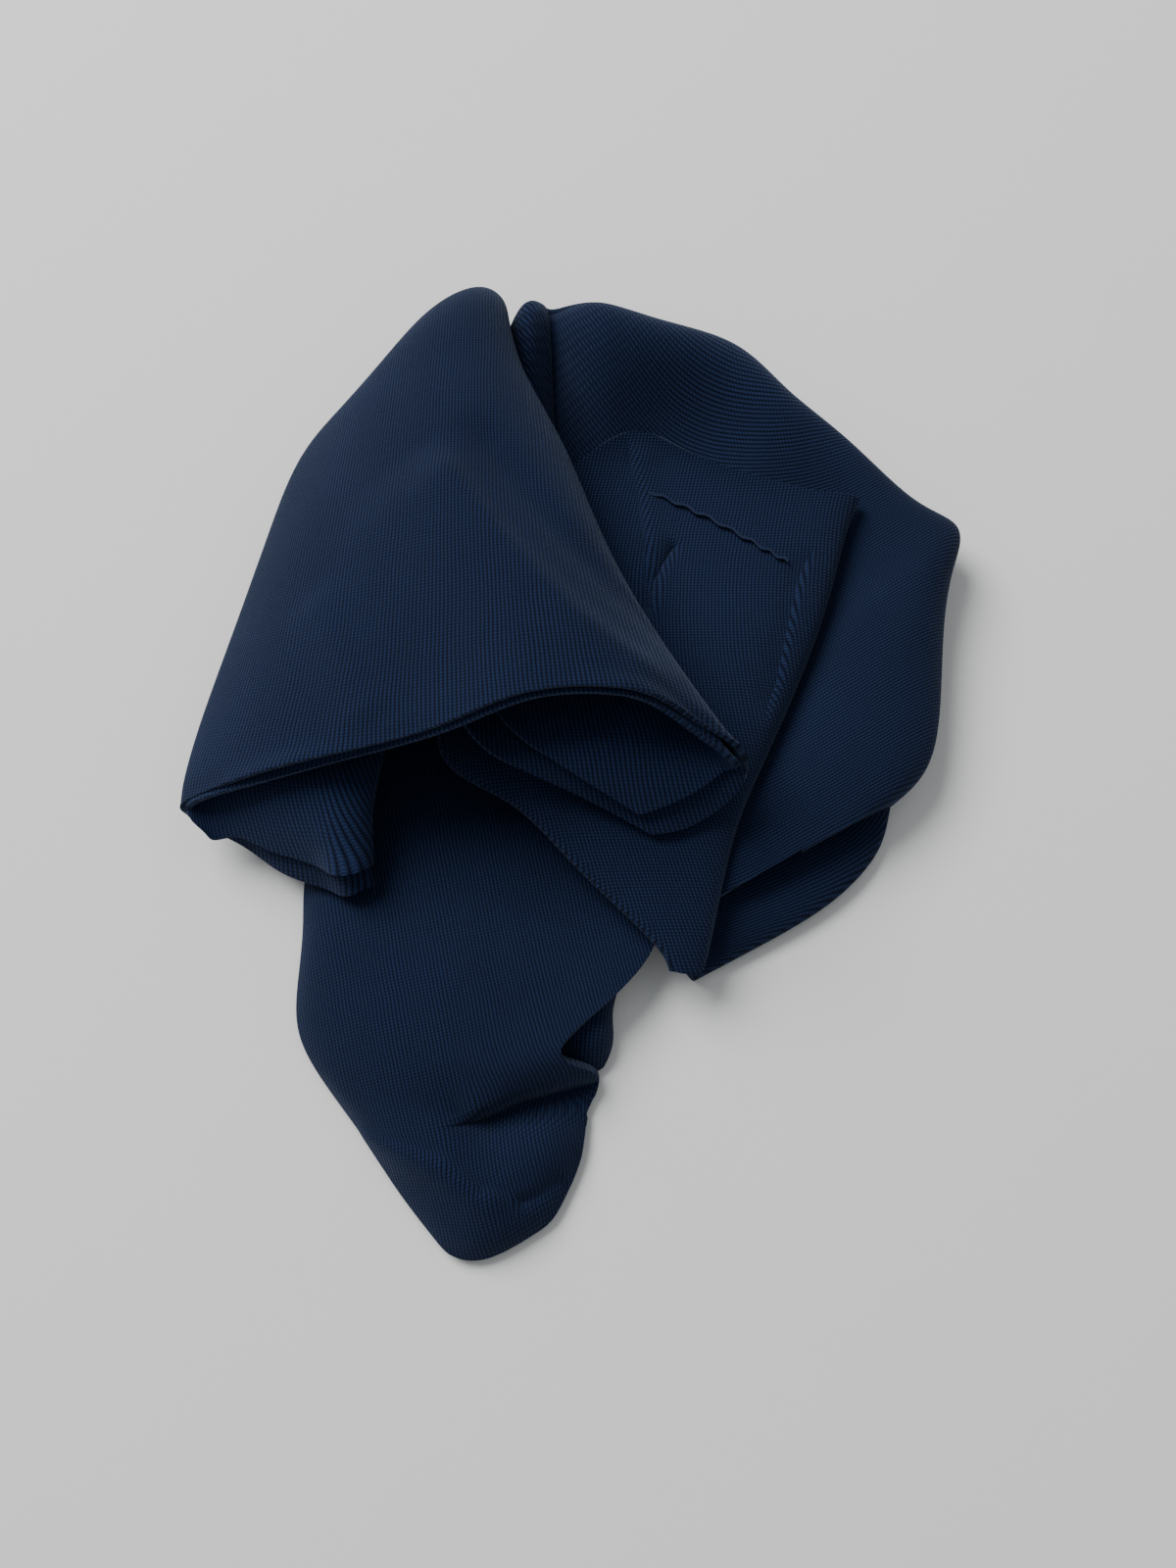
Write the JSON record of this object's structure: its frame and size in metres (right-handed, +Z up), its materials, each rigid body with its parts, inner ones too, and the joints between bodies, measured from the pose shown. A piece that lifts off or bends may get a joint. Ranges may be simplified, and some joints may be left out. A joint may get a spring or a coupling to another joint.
{
  "type": "knitted forearm band",
  "caption": "Long tubular two-ply rib-knit forearm band with a turned and linked cuff end, dropped as a loose crumpled heap with one open mouth.",
  "frame": {"origin": "middle of the heap's footprint, on the surface it rests on", "axes": "+Z up, +Y along the heap from the tail tip to the far turn of the sleeve, +X across it"},
  "size_m": [0.1524, 0.1894, 0.0437],
  "materials": {
    "knit_face": "fine navy rib knit, matt",
    "knit_inside": "fine navy rib knit, inner ply, matt",
    "thread": "dark linking thread"
  },
  "bodies": {
    "root": {"sleeve_outer_ply": "knit_face", "sleeve_inner_ply": "knit_inside", "cuff_band": "knit_face", "cuff_hem": "knit_inside", "linking_thread": "thread", "back_leaf": "knit_face", "under_leaf": "knit_face", "tail_leaf": "knit_face", "tail_side_leaf": "knit_face"}
  },
  "joints": []
}
